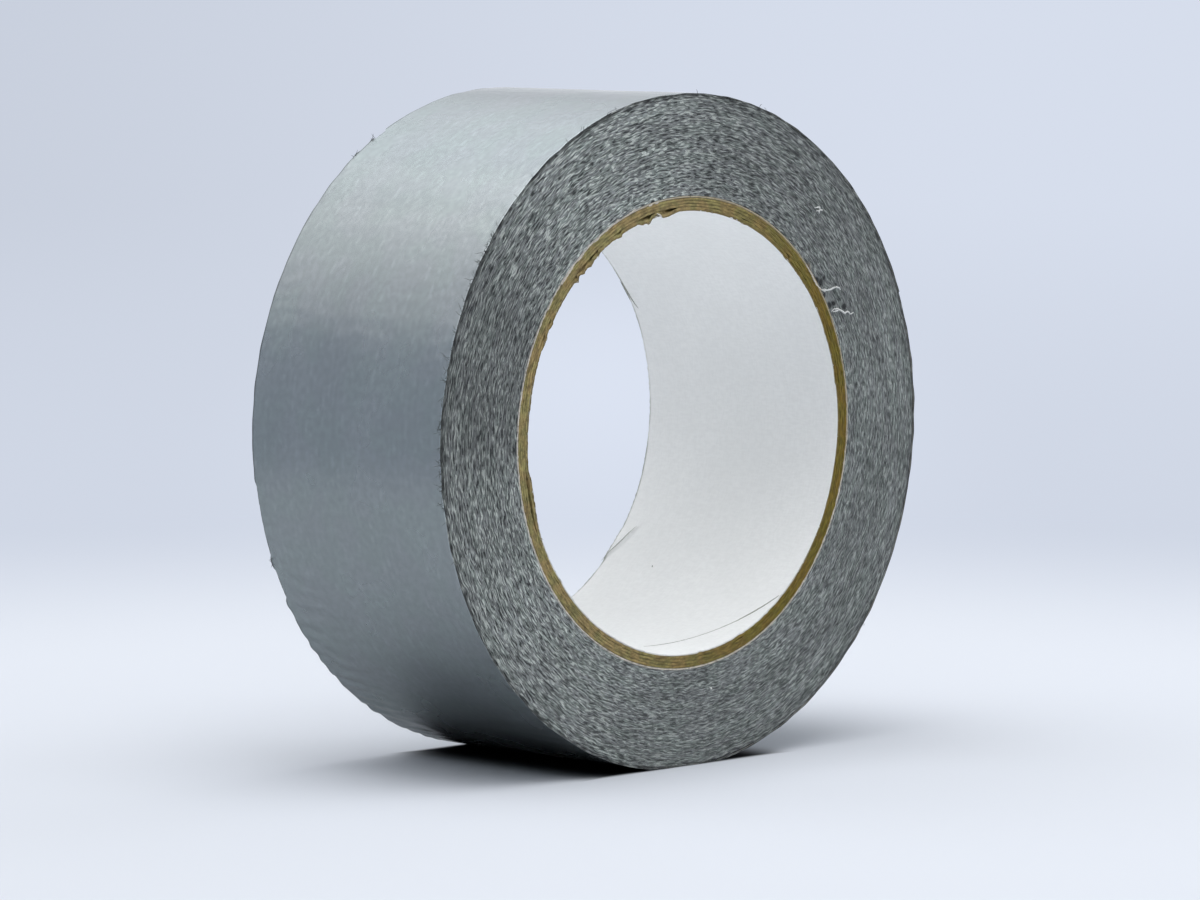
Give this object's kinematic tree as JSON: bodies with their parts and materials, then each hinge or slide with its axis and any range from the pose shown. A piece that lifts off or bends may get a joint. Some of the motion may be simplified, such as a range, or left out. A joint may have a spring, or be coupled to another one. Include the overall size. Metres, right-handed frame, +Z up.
{
  "type": "roll of cloth tape",
  "caption": "Roll of silver cloth-backed adhesive tape on a paper core, standing on its tread, with a free end that peels.",
  "frame": {"origin": "on the floor under the middle of the roll", "axes": "+Z up, Y along the roll's axis with the front face towards -Y, X across the roll"},
  "size_m": [0.1171, 0.047, 0.1167],
  "materials": {
    "silver_film": "satin",
    "tape_edge": "matte",
    "core_board": "matte",
    "liner_paper": "matte",
    "wrap_paper": "matte"
  },
  "bodies": {
    "roll": {"core_liner": "liner_paper", "core_ply_1": "core_board", "core_ply_2": "core_board", "core_ply_3": "core_board", "core_ply_4": "core_board", "core_wrap": "wrap_paper", "tape_pack": "tape_edge", "outer_turn": "silver_film"},
    "free_end": {"tape_end": "silver_film"}
  },
  "joints": [
    {"name": "tape_end_peel", "type": "hinge", "parent": "roll", "child": "free_end", "pos_m": [0.03818, 0, 0.10249], "axis": [0, -1, 0], "range_deg": [0, 120]}
  ]
}
